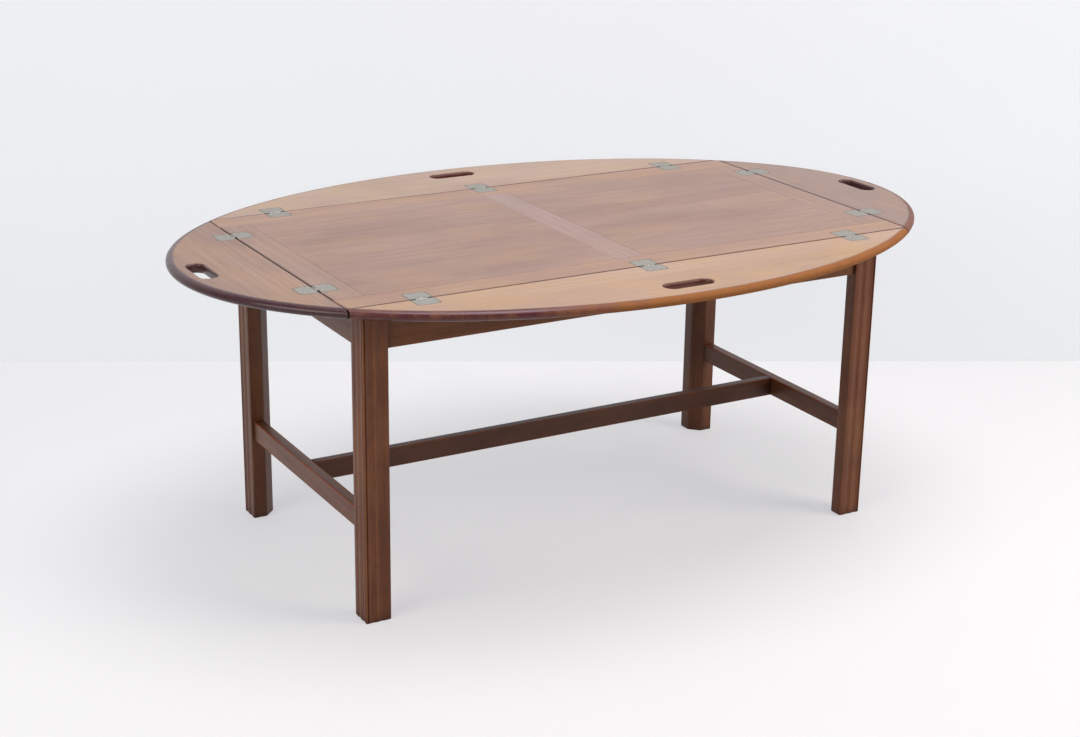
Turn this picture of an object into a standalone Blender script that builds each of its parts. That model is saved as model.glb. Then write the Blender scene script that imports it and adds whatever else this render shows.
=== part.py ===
"""Butler's tray table: an oval tray with a framed centre and four folding leaves, lying on a stretcher base.

Metres. +Z is up and +X along the length, and the origin is on the floor under the middle of the oval.
"""

import math

import bmesh
import bpy

# Oval top
TOP_LENGTH = 1.200
TOP_WIDTH = 0.800
TOP_HEIGHT = 0.468
TOP_THICKNESS = 0.014
NOSE_INSET = 0.0095
OVAL_STEPS = 120
NOSE_STEPS = 8

# Framed centre, whose four corners lie a little inside the oval, measured across the width
END_LEAF_WIDTH = 0.1395
CORNER_INSET = 0.005
FRAME_WIDTH = 0.046
TONGUE_LENGTH = 0.006
TONGUE_THICKNESS = 0.005
GROOVE_STOP = 0.012
BATTEN_WIDTH = 0.030
BATTEN_DEPTH = 0.012
BATTEN_PLAY = 0.002

# Seams between the centre and its leaves, open wide enough at the top for a leaf to stand up
SEAM_GAP = 0.0012
SWING_CLEARANCE = 0.0004

# Handholds in the leaves, placed from the edge of the oval
HANDHOLD_LENGTH = 0.076
HANDHOLD_WIDTH = 0.024
HANDHOLD_ROUNDING = 0.0035
HANDHOLD_INSET_LONG = 0.048
HANDHOLD_INSET_END = 0.036
ROUND_END_STEPS = 10
RIM_STEPS = 3

# Hinges, let in flush with the top and placed from the ends of the seams
HINGE_INSET_LONG = 0.107
HINGE_INSET_END = 0.102
HINGE_REACH = 0.0275
HINGE_WIDTH = 0.0345
HINGE_WAIST = 0.017
CENTRE_KNUCKLE = 0.0068
KNUCKLE_GAP = 0.0004
PLATE_THICKNESS = 0.0018
BARREL_RADIUS = 0.0020
PIN_RADIUS = 0.0009
PIN_DEPTH = 0.0014
BARREL_STEPS = 12

# Legs, moulded on both outer faces and chamfered on the inner corner
LEG_SIDE = 0.038
LEG_CHAMFER = 0.0165
LEG_BEAD = 0.0022
LEG_QUIRK_WIDTH = 0.0022
LEG_QUIRK_DEPTH = 0.0014
LEG_REED = 0.0040
LEG_FLUTE_DEPTH = 0.0010
LEG_MARGIN = 0.0078
LEG_MARGIN_DROP = 0.0006
BEAD_STEPS = 2
FLUTE_STEPS = 4
OVERHANG_END = 0.032
OVERHANG_SIDE = 0.0243

# Aprons, stretchers and corner blocks
RAIL_SETBACK = 0.005
APRON_DEPTH = 0.058
APRON_THICKNESS = 0.016
STRETCHER_TOP = 0.160
STRETCHER_DEPTH = 0.030
STRETCHER_THICKNESS = 0.016
CENTRE_THICKNESS = 0.0145
TENON_THICKNESS = 0.006
TENON_SHOULDER = 0.005
STRETCHER_MORTISE = 0.018
MORTISE_WALL = 0.0015
MORTISE_FLOOR = 0.005
BLOCK_REACH = 0.034
BLOCK_DEPTH = 0.034
BLOCK_CLEARANCE = 0.005

# Gap between fitted pieces, and how far a cutting shape runs past what it cuts
FIT = 0.0003
PAST = 0.002

# Sizes that follow from those above
OVAL_X = TOP_LENGTH / 2
OVAL_Y = TOP_WIDTH / 2
TRAY_X = OVAL_X - END_LEAF_WIDTH
TRAY_Y = OVAL_Y * math.sqrt(1 - (TRAY_X / OVAL_X) ** 2) - CORNER_INSET
UNDERSIDE = TOP_HEIGHT - TOP_THICKNESS
TONGUE_Z = TOP_HEIGHT - TOP_THICKNESS / 2
AXIS_Z = TOP_HEIGHT - PIN_DEPTH
SEAM_EDGE = SEAM_GAP / 2
SEAM_OPENING = PIN_DEPTH + SWING_CLEARANCE
SEAM_CHAMFER = SEAM_OPENING - SEAM_EDGE
BASE_TOP = UNDERSIDE - FIT
LEG_X = TRAY_X - OVERHANG_END
LEG_Y = TRAY_Y - OVERHANG_SIDE
APRON_MID = RAIL_SETBACK + APRON_THICKNESS / 2
APRON_Z = BASE_TOP - APRON_DEPTH / 2
APRON_TENON_DEPTH = APRON_DEPTH - 2 * TENON_SHOULDER
APRON_MORTISE = LEG_SIDE - APRON_MID - TENON_THICKNESS / 2 - FIT - MORTISE_WALL
STRETCHER_MID = RAIL_SETBACK + STRETCHER_THICKNESS / 2
STRETCHER_Z = STRETCHER_TOP - STRETCHER_DEPTH / 2
STRETCHER_TENON_DEPTH = STRETCHER_DEPTH - 2 * TENON_SHOULDER
CENTRE_MORTISE = STRETCHER_THICKNESS - MORTISE_FLOOR


def finish(name, colour, roughness, metallic=0.0):
    """A Principled material of one colour."""
    made = bpy.data.materials.new(name)
    made.use_nodes = True
    shader = made.node_tree.nodes["Principled BSDF"]
    shader.inputs["Base Color"].default_value = (*colour, 1.0)
    shader.inputs["Roughness"].default_value = roughness
    shader.inputs["Metallic"].default_value = metallic
    return made


def solid(name, loops):
    """A closed solid skinned over loops of points, all with as many points, and capped at both ends."""
    shape = bmesh.new()
    rings = [[shape.verts.new(point) for point in loop] for loop in loops]
    count = len(loops[0])
    for low, high in zip(rings, rings[1:]):
        for i in range(count):
            j = (i + 1) % count
            shape.faces.new((low[i], low[j], high[j], high[i]))
    shape.faces.new(rings[0][::-1])
    shape.faces.new(rings[-1])
    bmesh.ops.recalc_face_normals(shape, faces=shape.faces)
    mesh = bpy.data.meshes.new(name)
    shape.to_mesh(mesh)
    shape.free()
    made = bpy.data.objects.new(name, mesh)
    bpy.context.scene.collection.objects.link(made)
    return made


def about(middle, size):
    """The (low, high) pair of a size centred on a middle."""
    return (middle - size / 2, middle + size / 2)


def grown(pair, by):
    return (pair[0] - by, pair[1] + by)


def outward(side, start, end):
    """The (low, high) pair from start to end, measured towards the side, -1 or +1."""
    return tuple(sorted((side * start, side * end)))


def rectangle(x, y, z):
    """The corners of a level rectangle from (low, high) pairs in x and y."""
    return [(x[0], y[0], z), (x[1], y[0], z), (x[1], y[1], z), (x[0], y[1], z)]


def box(name, x, y, z):
    return solid(name, [rectangle(x, y, z[0]), rectangle(x, y, z[1])])


def extruded(name, section, stations):
    """A bar along X from a section of (y, z) points."""
    return solid(name, [[(x, y, z) for y, z in section] for x in stations])


def pillar(name, section, low, high):
    """An upright bar from a section of (x, y) points."""
    return solid(name, [[(x, y, z) for x, y in section] for z in (low, high)])


def round_bar(name, radius, x):
    """A round bar along X, between the (low, high) pair x."""
    angles = [2 * math.pi * (i + 0.5) / BARREL_STEPS for i in range(BARREL_STEPS)]
    return extruded(name, [(radius * math.cos(a), radius * math.sin(a)) for a in angles], x)


def combine(target, tool, operation):
    """Cuts, joins or intersects a piece with a tool shape, which is used up."""
    change = target.modifiers.new(operation.lower(), "BOOLEAN")
    change.operation = operation
    change.object = tool
    change.solver = "EXACT"
    graph = bpy.context.evaluated_depsgraph_get()
    target.data = bpy.data.meshes.new_from_object(target.evaluated_get(graph))
    target.modifiers.clear()
    bpy.data.objects.remove(tool, do_unlink=True)


def cut(target, tool):
    combine(target, tool, "DIFFERENCE")


def place(piece, parent, position=(0.0, 0.0, 0.0), turn=0.0):
    """Hangs a piece on its parent, turned about Z."""
    piece.parent = parent
    piece.location = position
    piece.rotation_euler = (0.0, 0.0, turn)
    return piece


def mark(name, parent=None, position=(0.0, 0.0, 0.0), turn=0.0):
    """An empty that carries the pieces of one moving group, on the axis of its joint."""
    made = bpy.data.objects.new(name, None)
    bpy.context.scene.collection.objects.link(made)
    return place(made, parent, position, turn)


def dress(piece, material):
    """Gives a piece its material and shades its round parts smooth."""
    piece.data.materials.clear()
    piece.data.materials.append(material)
    piece.data.shade_smooth()
    piece.data.set_sharp_from_angle(angle=math.radians(30))


def leg_face():
    """The moulding of one outer face, as (distance from the outer corner, depth) points past the corner."""
    points = []
    for step in range(1, BEAD_STEPS + 1):
        angle = math.pi / 4 * (1 + step / BEAD_STEPS)
        points.append((LEG_BEAD * (1 - math.cos(angle)), LEG_BEAD * (1 - math.sin(angle))))
    points.append((LEG_BEAD + LEG_QUIRK_WIDTH / 2, LEG_QUIRK_DEPTH))
    first = LEG_BEAD + LEG_QUIRK_WIDTH
    width = (LEG_SIDE - LEG_MARGIN - first - LEG_REED) / 2
    for start in (first, first + width + LEG_REED):
        for step in range(FLUTE_STEPS + 1):
            share = step / FLUTE_STEPS
            points.append((start + width * share, LEG_FLUTE_DEPTH * math.sin(math.pi * share)))
    points.append((LEG_SIDE, LEG_MARGIN_DROP))
    return points


def leg(name, stretcher_along_x):
    """A leg with its outer corner on the origin, growing towards +X and +Y, with its three mortises."""
    face = leg_face()
    tip = LEG_BEAD * (1 - math.cos(math.pi / 4))
    inner = [(LEG_SIDE, LEG_SIDE - LEG_CHAMFER), (LEG_SIDE - LEG_CHAMFER, LEG_SIDE)]
    section = [(tip, tip)] + face + inner + [(y, x) for x, y in reversed(face)]
    made = pillar(name, section, 0.0, BASE_TOP)
    slot = about(APRON_MID, TENON_THICKNESS + 2 * FIT)
    depth = (LEG_SIDE - APRON_MORTISE, LEG_SIDE + PAST)
    height = about(APRON_Z, APRON_TENON_DEPTH + 2 * FIT)
    cut(made, box("mortise", depth, slot, height))
    cut(made, box("mortise", slot, depth, height))
    slot = about(STRETCHER_MID, TENON_THICKNESS + 2 * FIT)
    depth = (LEG_SIDE - STRETCHER_MORTISE, LEG_SIDE + PAST)
    height = about(STRETCHER_Z, STRETCHER_TENON_DEPTH + 2 * FIT)
    if stretcher_along_x:
        cut(made, box("mortise", depth, slot, height))
    else:
        cut(made, box("mortise", slot, depth, height))
    return made


def bar_section(width, depth):
    """The (y, z) corners of a bar's section, centred on its middle line."""
    y, z = width / 2, depth / 2
    return [(-y, -z), (y, -z), (y, z), (-y, z)]


def tenoned_bar(name, half, thickness, depth, tenon, tenon_depth):
    """A rail along X with a tenon of one thickness past each shoulder, centred on the origin."""
    body = bar_section(thickness, depth)
    stub = bar_section(TENON_THICKNESS, tenon_depth)
    end = half + tenon
    stations = [(-end, stub), (-half, stub), (-half, body), (half, body), (half, stub), (end, stub)]
    return solid(name, [[(x, y, z) for y, z in section] for x, section in stations])


def apron(name, leg_distance):
    """An apron between two legs whose outer corners are twice leg_distance apart."""
    half = leg_distance - LEG_SIDE - FIT
    return tenoned_bar(name, half, APRON_THICKNESS, APRON_DEPTH, APRON_MORTISE, APRON_TENON_DEPTH)


def side_stretcher(name, side):
    """A stretcher between a front and a back leg, mortised on its inner face for the centre stretcher."""
    half = LEG_Y - LEG_SIDE - FIT
    tenon = (STRETCHER_MORTISE, STRETCHER_TENON_DEPTH)
    made = tenoned_bar(name, half, STRETCHER_THICKNESS, STRETCHER_DEPTH, *tenon)
    face = STRETCHER_THICKNESS / 2
    slot = about(0.0, TENON_THICKNESS + 2 * FIT)
    depth = outward(side, face - CENTRE_MORTISE, face + PAST)
    cut(made, box("mortise", slot, depth, about(0.0, STRETCHER_TENON_DEPTH + 2 * FIT)))
    return made


def centre_stretcher(name):
    half = LEG_X - RAIL_SETBACK - STRETCHER_THICKNESS - FIT
    return tenoned_bar(name, half, CENTRE_THICKNESS, STRETCHER_DEPTH, CENTRE_MORTISE, STRETCHER_TENON_DEPTH)


def corner_block(name):
    """A block glued to both aprons behind a leg, clear of its chamfer, from the leg's outer corner."""
    face = RAIL_SETBACK + APRON_THICKNESS + FIT
    past_chamfer = 2 * LEG_SIDE - LEG_CHAMFER + 2 * FIT - face
    start = max(LEG_SIDE + FIT, past_chamfer)
    end = LEG_SIDE + BLOCK_REACH
    top = BASE_TOP - BATTEN_DEPTH - BLOCK_CLEARANCE
    return pillar(name, [(start, face), (end, face), (face, end), (face, start)], top - BLOCK_DEPTH, top)


def oval_board(name, semi_x, semi_y, centre_y, top):
    """The whole oval with its round nose: loops of the oval, each moved in along its normals."""
    half = TOP_THICKNESS / 2
    loops = []
    for step in range(NOSE_STEPS + 1):
        angle = math.pi * (step / NOSE_STEPS - 0.5)
        inset = NOSE_INSET * (1 - math.cos(angle))
        z = top - half + half * math.sin(angle)
        loop = []
        for turn in range(OVAL_STEPS):
            t = 2 * math.pi * turn / OVAL_STEPS
            normal_x, normal_y = semi_y * math.cos(t), semi_x * math.sin(t)
            share = inset / math.hypot(normal_x, normal_y)
            x = semi_x * math.cos(t) - normal_x * share
            y = semi_y * math.sin(t) - normal_y * share
            loop.append((x, centre_y + y, z))
        loops.append(loop)
    return solid(name, loops)


def groove(x, y):
    """The channel for a tongue, in the middle of the thickness."""
    return box("groove", x, y, about(TONGUE_Z, TONGUE_THICKNESS + 2 * FIT))


def tongue(x, y):
    return box("tongue", x, y, about(TONGUE_Z, TONGUE_THICKNESS))


def long_rail(name, side):
    """The front (-1) or back (+1) rail: the whole length of the centre, chamfered along its seams."""
    end = TRAY_X - SEAM_EDGE
    edge = TRAY_Y - SEAM_EDGE
    inner = TRAY_Y - FRAME_WIDTH
    rise = SEAM_CHAMFER + PAST
    full = outward(side, inner, edge)
    loops = [
        rectangle((-end, end), full, UNDERSIDE - PAST),
        rectangle((-end, end), full, TOP_HEIGHT - SEAM_CHAMFER),
        rectangle((rise - end, end - rise), outward(side, inner, edge - rise), TOP_HEIGHT + PAST),
    ]
    made = oval_board(name, OVAL_X, OVAL_Y, 0.0, TOP_HEIGHT)
    combine(made, solid("rail_shape", loops), "INTERSECT")
    reach = TRAY_X - GROOVE_STOP
    cut(made, groove((-reach, reach), outward(side, inner - PAST, inner + TONGUE_LENGTH + FIT)))
    return made


def end_rail(name, side):
    """The left (-1) or right (+1) rail, tongued into the long rails and grooved for a panel."""
    edge = TRAY_X - SEAM_EDGE
    inner = TRAY_X - FRAME_WIDTH
    half = TRAY_Y - FRAME_WIDTH - FIT
    y = (-half, half)
    loops = [
        rectangle(outward(side, inner, edge), y, UNDERSIDE),
        rectangle(outward(side, inner, edge), y, TOP_HEIGHT - SEAM_CHAMFER),
        rectangle(outward(side, inner, edge - SEAM_CHAMFER), y, TOP_HEIGHT),
    ]
    made = solid(name, loops)
    groove_end = inner + TONGUE_LENGTH + FIT
    stub = outward(side, groove_end + FIT, TRAY_X - GROOVE_STOP - FIT)
    combine(made, tongue(stub, grown(y, TONGUE_LENGTH)), "UNION")
    cut(made, groove(outward(side, inner - PAST, groove_end), grown(y, PAST)))
    return made


def muntin(name):
    """The bar across the middle, tongued into the long rails and grooved for both panels."""
    half = TRAY_Y - FRAME_WIDTH - FIT
    edge = FRAME_WIDTH / 2
    y = (-half, half)
    made = box(name, (-edge, edge), y, (UNDERSIDE, TOP_HEIGHT))
    groove_end = edge - TONGUE_LENGTH - FIT
    stub = (FIT - groove_end, groove_end - FIT)
    combine(made, tongue(stub, grown(y, TONGUE_LENGTH)), "UNION")
    for side in (-1, 1):
        cut(made, groove(outward(side, groove_end, edge + PAST), grown(y, PAST)))
    return made


def panel(name, side):
    """A flush panel, with a tongue all round in the grooves of the frame."""
    half = TRAY_Y - FRAME_WIDTH - FIT
    x = outward(side, FRAME_WIDTH / 2 + FIT, TRAY_X - FRAME_WIDTH - FIT)
    y = (-half, half)
    wide_x, wide_y = grown(x, TONGUE_LENGTH), grown(y, TONGUE_LENGTH)
    low, high = about(TONGUE_Z, TONGUE_THICKNESS)
    loops = [
        rectangle(x, y, UNDERSIDE),
        rectangle(x, y, low),
        rectangle(wide_x, wide_y, low),
        rectangle(wide_x, wide_y, high),
        rectangle(x, y, high),
        rectangle(x, y, TOP_HEIGHT),
    ]
    return solid(name, loops)


def batten(name, side):
    """A cleat under a panel, which drops inside an end apron and keeps the tray in place."""
    end = LEG_X - RAIL_SETBACK - APRON_THICKNESS - BATTEN_PLAY
    half = LEG_Y - LEG_SIDE - BATTEN_PLAY
    x = outward(side, end - BATTEN_WIDTH, end)
    return box(name, x, (-half, half), (BASE_TOP - BATTEN_DEPTH, BASE_TOP))


def beyond_seam(half, far):
    """All that lies outward of a seam, over half its length each way, chamfered along its top edge."""
    low, high = PIN_DEPTH - TOP_THICKNESS - PAST, PIN_DEPTH + PAST
    section = [
        (SEAM_EDGE, low),
        (far, low),
        (far, high),
        (SEAM_OPENING + PAST, high),
        (SEAM_EDGE, PIN_DEPTH - SEAM_CHAMFER),
    ]
    return extruded("beyond_seam", section, (-half, half))


def handhold(middle):
    """A slot with round ends and quarter-round rims on both faces, as the shape to cut away."""
    top, bottom = PIN_DEPTH, PIN_DEPTH - TOP_THICKNESS
    rim = []
    for step in range(RIM_STEPS + 1):
        angle = math.pi / 2 * step / RIM_STEPS
        rim.append((HANDHOLD_ROUNDING * (1 - math.cos(angle)), HANDHOLD_ROUNDING * (1 - math.sin(angle))))
    levels = [(top + PAST, HANDHOLD_ROUNDING + PAST)]
    levels += [(top - depth, wider) for depth, wider in rim]
    levels += [(bottom + depth, wider) for depth, wider in reversed(rim)]
    levels += [(bottom - PAST, HANDHOLD_ROUNDING + PAST)]
    straight = (HANDHOLD_LENGTH - HANDHOLD_WIDTH) / 2
    loops = []
    for z, wider in levels:
        radius = HANDHOLD_WIDTH / 2 + wider
        loop = []
        for side in (1, -1):
            for step in range(ROUND_END_STEPS + 1):
                angle = math.pi * (step / ROUND_END_STEPS - 0.5)
                x = side * (straight + radius * math.cos(angle))
                loop.append((x, middle + side * radius * math.sin(angle), z))
        loops.append(loop)
    return solid("handhold", loops)


def leaf(name, semi_x, semi_y, seam, half, hinges, handhold_inset):
    """A leaf lying flat towards +Y of its hinge axis, the X axis; the oval's middle is at -seam in Y."""
    made = oval_board(name, semi_x, semi_y, -seam, PIN_DEPTH)
    combine(made, beyond_seam(half, semi_y), "INTERSECT")
    cut(made, handhold(semi_y - seam - handhold_inset))
    for position in hinges:
        cut(made, hinge_pocket(position, 1))
    return made


def hinge_pocket(position, side):
    """The recess for one plate and the deeper trough for the barrel, on one side of the hinge axis."""
    plate_x = about(position, HINGE_WIDTH + 2 * FIT)
    plate_y = outward(side, -PAST, HINGE_REACH + FIT)
    plate_floor = PIN_DEPTH - PLATE_THICKNESS - FIT
    trough_x = about(position, HINGE_WAIST + 2 * FIT)
    trough_y = outward(side, -PAST / 2, BARREL_RADIUS + 2 * FIT)
    loops = [
        rectangle(trough_x, trough_y, -BARREL_RADIUS - FIT),
        rectangle(trough_x, trough_y, plate_floor),
        rectangle(plate_x, plate_y, plate_floor),
        rectangle(plate_x, plate_y, PIN_DEPTH + PAST),
    ]
    return solid("hinge_pocket", loops)


def hinge_plate(name, side, knuckles, facing):
    """A plate with its knuckles, cut back where the facing plate's knuckles turn; the pin is the X axis."""
    z = (PIN_DEPTH - PLATE_THICKNESS, PIN_DEPTH)
    made = box(name, about(0.0, HINGE_WIDTH), outward(side, SEAM_OPENING, HINGE_REACH), z)
    for x in facing:
        clear = outward(side, -PAST, BARREL_RADIUS + FIT)
        cut(made, box("clear", grown(x, KNUCKLE_GAP), clear, grown(z, PAST)))
    for x in knuckles:
        combine(made, box("neck", x, outward(side, 0.0, SEAM_OPENING + PAST), z), "UNION")
        combine(made, round_bar("knuckle", BARREL_RADIUS, x), "UNION")
    cut(made, round_bar("bore", PIN_RADIUS + FIT, about(0.0, HINGE_WIDTH)))
    return made


def hinge_copy(name, pattern, parent, position, turn):
    """One more plate or pin that shares its mesh with the pattern."""
    made = bpy.data.objects.new(name, pattern.data)
    bpy.context.scene.collection.objects.link(made)
    return place(made, parent, position, turn)


for thing in list(bpy.data.objects):
    bpy.data.objects.remove(thing, do_unlink=True)

base_wood = finish("dark_mahogany", (0.102, 0.042, 0.027), 0.42)
tray_wood = finish("tray_mahogany", (0.46, 0.30, 0.235), 0.38)
leaf_wood = finish("leaf_mahogany", (0.56, 0.38, 0.27), 0.38)
block_wood = finish("pine", (0.55, 0.40, 0.24), 0.70)
plate_metal = finish("nickelled_brass", (0.42, 0.42, 0.38), 0.45, 1.0)
pin_metal = finish("steel", (0.35, 0.35, 0.34), 0.40, 1.0)

# Base: each leg and its block are turned to their corner, and the rails run between the legs
base = mark("base")
corners = {
    "front_left": (-1, -1, 0),
    "front_right": (1, -1, 1),
    "back_right": (1, 1, 2),
    "back_left": (-1, 1, 3),
}
for corner, (x_side, y_side, quarter_turns) in corners.items():
    spot = (x_side * LEG_X, y_side * LEG_Y, 0.0)
    turn = quarter_turns * math.pi / 2
    post = leg("leg_" + corner, stretcher_along_x=x_side != y_side)
    dress(place(post, base, spot, turn), base_wood)
    block = corner_block("corner_block_" + corner)
    dress(place(block, base, spot, turn), block_wood)
for end, side in (("front", -1), ("back", 1)):
    long_apron = apron("apron_" + end, LEG_X)
    dress(place(long_apron, base, (0.0, side * (LEG_Y - APRON_MID), APRON_Z)), base_wood)
for end, side in (("left", -1), ("right", 1)):
    end_apron = apron("apron_" + end, LEG_Y)
    dress(place(end_apron, base, (side * (LEG_X - APRON_MID), 0.0, APRON_Z), math.pi / 2), base_wood)
    stretcher = side_stretcher("side_stretcher_" + end, side)
    dress(place(stretcher, base, (side * (LEG_X - STRETCHER_MID), 0.0, STRETCHER_Z), math.pi / 2), base_wood)
dress(place(centre_stretcher("centre_stretcher"), base, (0.0, 0.0, STRETCHER_Z)), base_wood)

# Tray: the frame, its panels and battens, all of which lift off together
tray = mark("tray_lift_axis")
rails = {
    "front": long_rail("tray_rail_front", -1),
    "back": long_rail("tray_rail_back", 1),
    "left": end_rail("tray_rail_left", -1),
    "right": end_rail("tray_rail_right", 1),
}
dress(place(muntin("tray_muntin"), tray), tray_wood)
for end, side in (("left", -1), ("right", 1)):
    dress(place(panel("tray_panel_" + end, side), tray), tray_wood)
    dress(place(batten("tray_batten_" + end, side), tray), tray_wood)

# Leaves and hinges: each leaf hangs on an empty, with X along the hinge axis and Y outward
centre_x = [about(0.0, CENTRE_KNUCKLE)]
outer_start = CENTRE_KNUCKLE / 2 + KNUCKLE_GAP
outer_x = [outward(side, outer_start, HINGE_WAIST / 2) for side in (-1, 1)]
tray_plate = hinge_plate("tray_plate", -1, centre_x, outer_x)
leaf_plate = hinge_plate("leaf_plate", 1, outer_x, centre_x)
hinge_pin = round_bar("hinge_pin", PIN_RADIUS, about(0.0, HINGE_WAIST))
dress(tray_plate, plate_metal)
dress(leaf_plate, plate_metal)
dress(hinge_pin, pin_metal)
long_hinge = TRAY_X - HINGE_INSET_LONG
end_hinge = TRAY_Y - HINGE_INSET_END
long_leaf = (OVAL_X, OVAL_Y, TRAY_Y, TRAY_X - SEAM_OPENING)
long_fittings = ((-long_hinge, 0.0, long_hinge), HANDHOLD_INSET_LONG)
end_leaf = (OVAL_Y, OVAL_X, TRAY_X, OVAL_Y)
end_fittings = ((-end_hinge, end_hinge), HANDHOLD_INSET_END)
leaves = {
    "back": (0, long_leaf, long_fittings),
    "left": (1, end_leaf, end_fittings),
    "front": (2, long_leaf, long_fittings),
    "right": (3, end_leaf, end_fittings),
}
for side, (quarter_turns, shape, (hinges, inset)) in leaves.items():
    turn = quarter_turns * math.pi / 2
    along_x, along_y = math.cos(turn), math.sin(turn)
    seam = shape[2]
    axis_x, axis_y = -along_y * seam, along_x * seam
    axis = mark("leaf_axis_" + side, tray, (axis_x, axis_y, AXIS_Z), turn)
    dress(place(leaf("leaf_" + side, *shape, hinges, inset), axis), leaf_wood)
    for number, position in enumerate(hinges, start=1):
        label = side + "_" + str(number)
        spot = (axis_x + along_x * position, axis_y + along_y * position, AXIS_Z)
        pocket = place(hinge_pocket(0.0, -1), None, spot, turn)
        bpy.context.view_layer.update()
        cut(rails[side], pocket)
        hinge_copy("hinge_tray_plate_" + label, tray_plate, tray, spot, turn)
        hinge_copy("hinge_leaf_plate_" + label, leaf_plate, axis, (position, 0.0, 0.0), 0.0)
        hinge_copy("hinge_pin_" + label, hinge_pin, tray, spot, turn)
    dress(place(rails[side], tray), tray_wood)
for pattern in (tray_plate, leaf_plate, hinge_pin):
    bpy.data.objects.remove(pattern, do_unlink=True)
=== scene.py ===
import math

import bmesh
import bpy
import numpy as np
from mathutils import Euler, Matrix, Vector


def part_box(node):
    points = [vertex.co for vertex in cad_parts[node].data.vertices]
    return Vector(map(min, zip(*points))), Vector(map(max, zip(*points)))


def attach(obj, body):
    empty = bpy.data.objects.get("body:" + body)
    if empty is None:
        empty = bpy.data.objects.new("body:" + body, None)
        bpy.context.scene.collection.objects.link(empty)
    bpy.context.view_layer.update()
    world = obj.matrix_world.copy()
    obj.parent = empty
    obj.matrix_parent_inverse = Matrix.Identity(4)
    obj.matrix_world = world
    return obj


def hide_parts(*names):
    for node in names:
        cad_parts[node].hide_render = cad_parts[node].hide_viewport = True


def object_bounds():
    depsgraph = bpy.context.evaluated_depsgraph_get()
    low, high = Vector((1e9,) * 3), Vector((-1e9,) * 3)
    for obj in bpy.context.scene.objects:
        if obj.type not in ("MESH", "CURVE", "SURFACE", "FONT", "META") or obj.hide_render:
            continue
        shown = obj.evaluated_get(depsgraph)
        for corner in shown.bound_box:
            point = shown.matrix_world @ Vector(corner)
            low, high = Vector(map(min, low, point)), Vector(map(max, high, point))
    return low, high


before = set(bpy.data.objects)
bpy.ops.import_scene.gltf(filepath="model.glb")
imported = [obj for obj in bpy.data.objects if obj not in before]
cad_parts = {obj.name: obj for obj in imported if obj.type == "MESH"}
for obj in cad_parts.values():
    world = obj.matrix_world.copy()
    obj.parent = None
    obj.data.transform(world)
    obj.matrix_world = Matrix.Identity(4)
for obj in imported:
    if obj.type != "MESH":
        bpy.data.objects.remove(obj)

cad_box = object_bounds()

# Legs: four square posts of solid mahogany, stained dark and lacquered. Both outer faces are run with a
# corner bead, two hollows and a reed between them. The inner corner is planed off. Rails are tenoned in.
LEG_SIDE = 0.038
LEG_CHAMFER = 0.0165
BEAD = 0.0022
QUIRK = 0.0022
QUIRK_DEPTH = 0.0014
REED = 0.0040
REED_CROWN = 0.0004
HOLLOW_DEPTH = 0.0010
MARGIN = 0.0078
MARGIN_DROP = 0.0006
LEG_ARRIS = 0.0008
FOOT_EASE = 0.0016
EVEN_RINGS_FROM = 0.06
# Shares of the colour that is rubbed off, which on the bead and reed is partly painted highlight, of painted
# shade in the quirk and of darkening at the foot, and how wide or high each reaches.
BEAD_WEAR_AND_HIGHLIGHT = 0.7
BEAD_WEAR_AND_HIGHLIGHT_WIDTH = 0.0012
REED_WEAR_AND_HIGHLIGHT = 0.5
REED_WEAR_AND_HIGHLIGHT_WIDTH = 0.0015
INNER_WEAR = (0.0, 0.1, 0.2, 0.1, 0.0)
FOOT_WEAR = 0.4
QUIRK_PAINTED_SHADE = 0.25
QUIRK_PAINTED_SHADE_WIDTH = 0.0006
FOOT_DARKENING = 0.55
FOOT_DARKENING_HEIGHT = 0.006
# Points of a mesh that are closer than this become one.
WELD = 1e-6
SMOOTH_ANGLE = math.radians(32)
GRAIN_TURN = {"X": (0, 0, 0), "Y": (0, 0, -math.pi / 2), "Z": (0, math.pi / 2, 0)}
# Length along the grain and width across it in metres, and detail. Mahogany's pores are really 0.2 mm wide
# and are drawn 0.8 mm wide to show.
WOOD_PATTERNS = {
    "ribbon": (0.90, 0.055, 2.0),
    "cloud": (0.20, 0.110, 4.0),
    "figure": (0.45, 0.075, 2.0),
    "drift": (0.12, 0.065, 4.0),
    "streak": (0.22, 0.0050, 3.0),
    "fleck": (0.060, 0.0032, 2.0),
    "pore": (0.014, 0.0008, 1.0),
}
# The value of a pattern where it begins to show and where it shows in full, and its share of colour then.
WOOD_SHARES = {"drift": (0.45, 0.65, 0.60), "fleck": (0.60, 0.75, 0.35), "pore": (0.60, 0.70, 0.30)}
RIBBON_SHARE = 0.4
TONE_SPAN = 0.35
LINE_SHARPNESS = 3.0
LINES_COME = {"From Min": 0.40, "From Max": 0.60}
PORE_DEPTH = 0.0002
PATCH_SIZE = 0.022
PATCH_SPAN = {"From Min": 0.35, "From Max": 0.65}
WEAR_SPOTS = 0.34
THINNEST_STAIN = 0.93
# Near-black mixed in by the recess attribute: painted shade in the legs' quirks, in the seam gaps and at the
# rail shoulders, and darkening at the legs' feet.
WOOD_DARKENING = "#0E0705"
STREAK_GLOSS = 0.05
# What stain, wear and the darkening from the recess attribute add to the roughness.
STAIN_DULLS = -0.09
WEAR_DULLS = 0.75
DARKENING_DULLS = 0.30


def linear(hex_colour):
    """sRGB hex digits to linear red, green and blue, by the sRGB curve, with alpha 1."""
    channels = np.array([int(hex_colour[i:i + 2], 16) for i in (1, 3, 5)]) / 255
    values = np.where(channels <= 0.04045, channels / 12.92, ((channels + 0.055) / 1.055) ** 2.4)
    return (*values.tolist(), 1.0)


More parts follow.
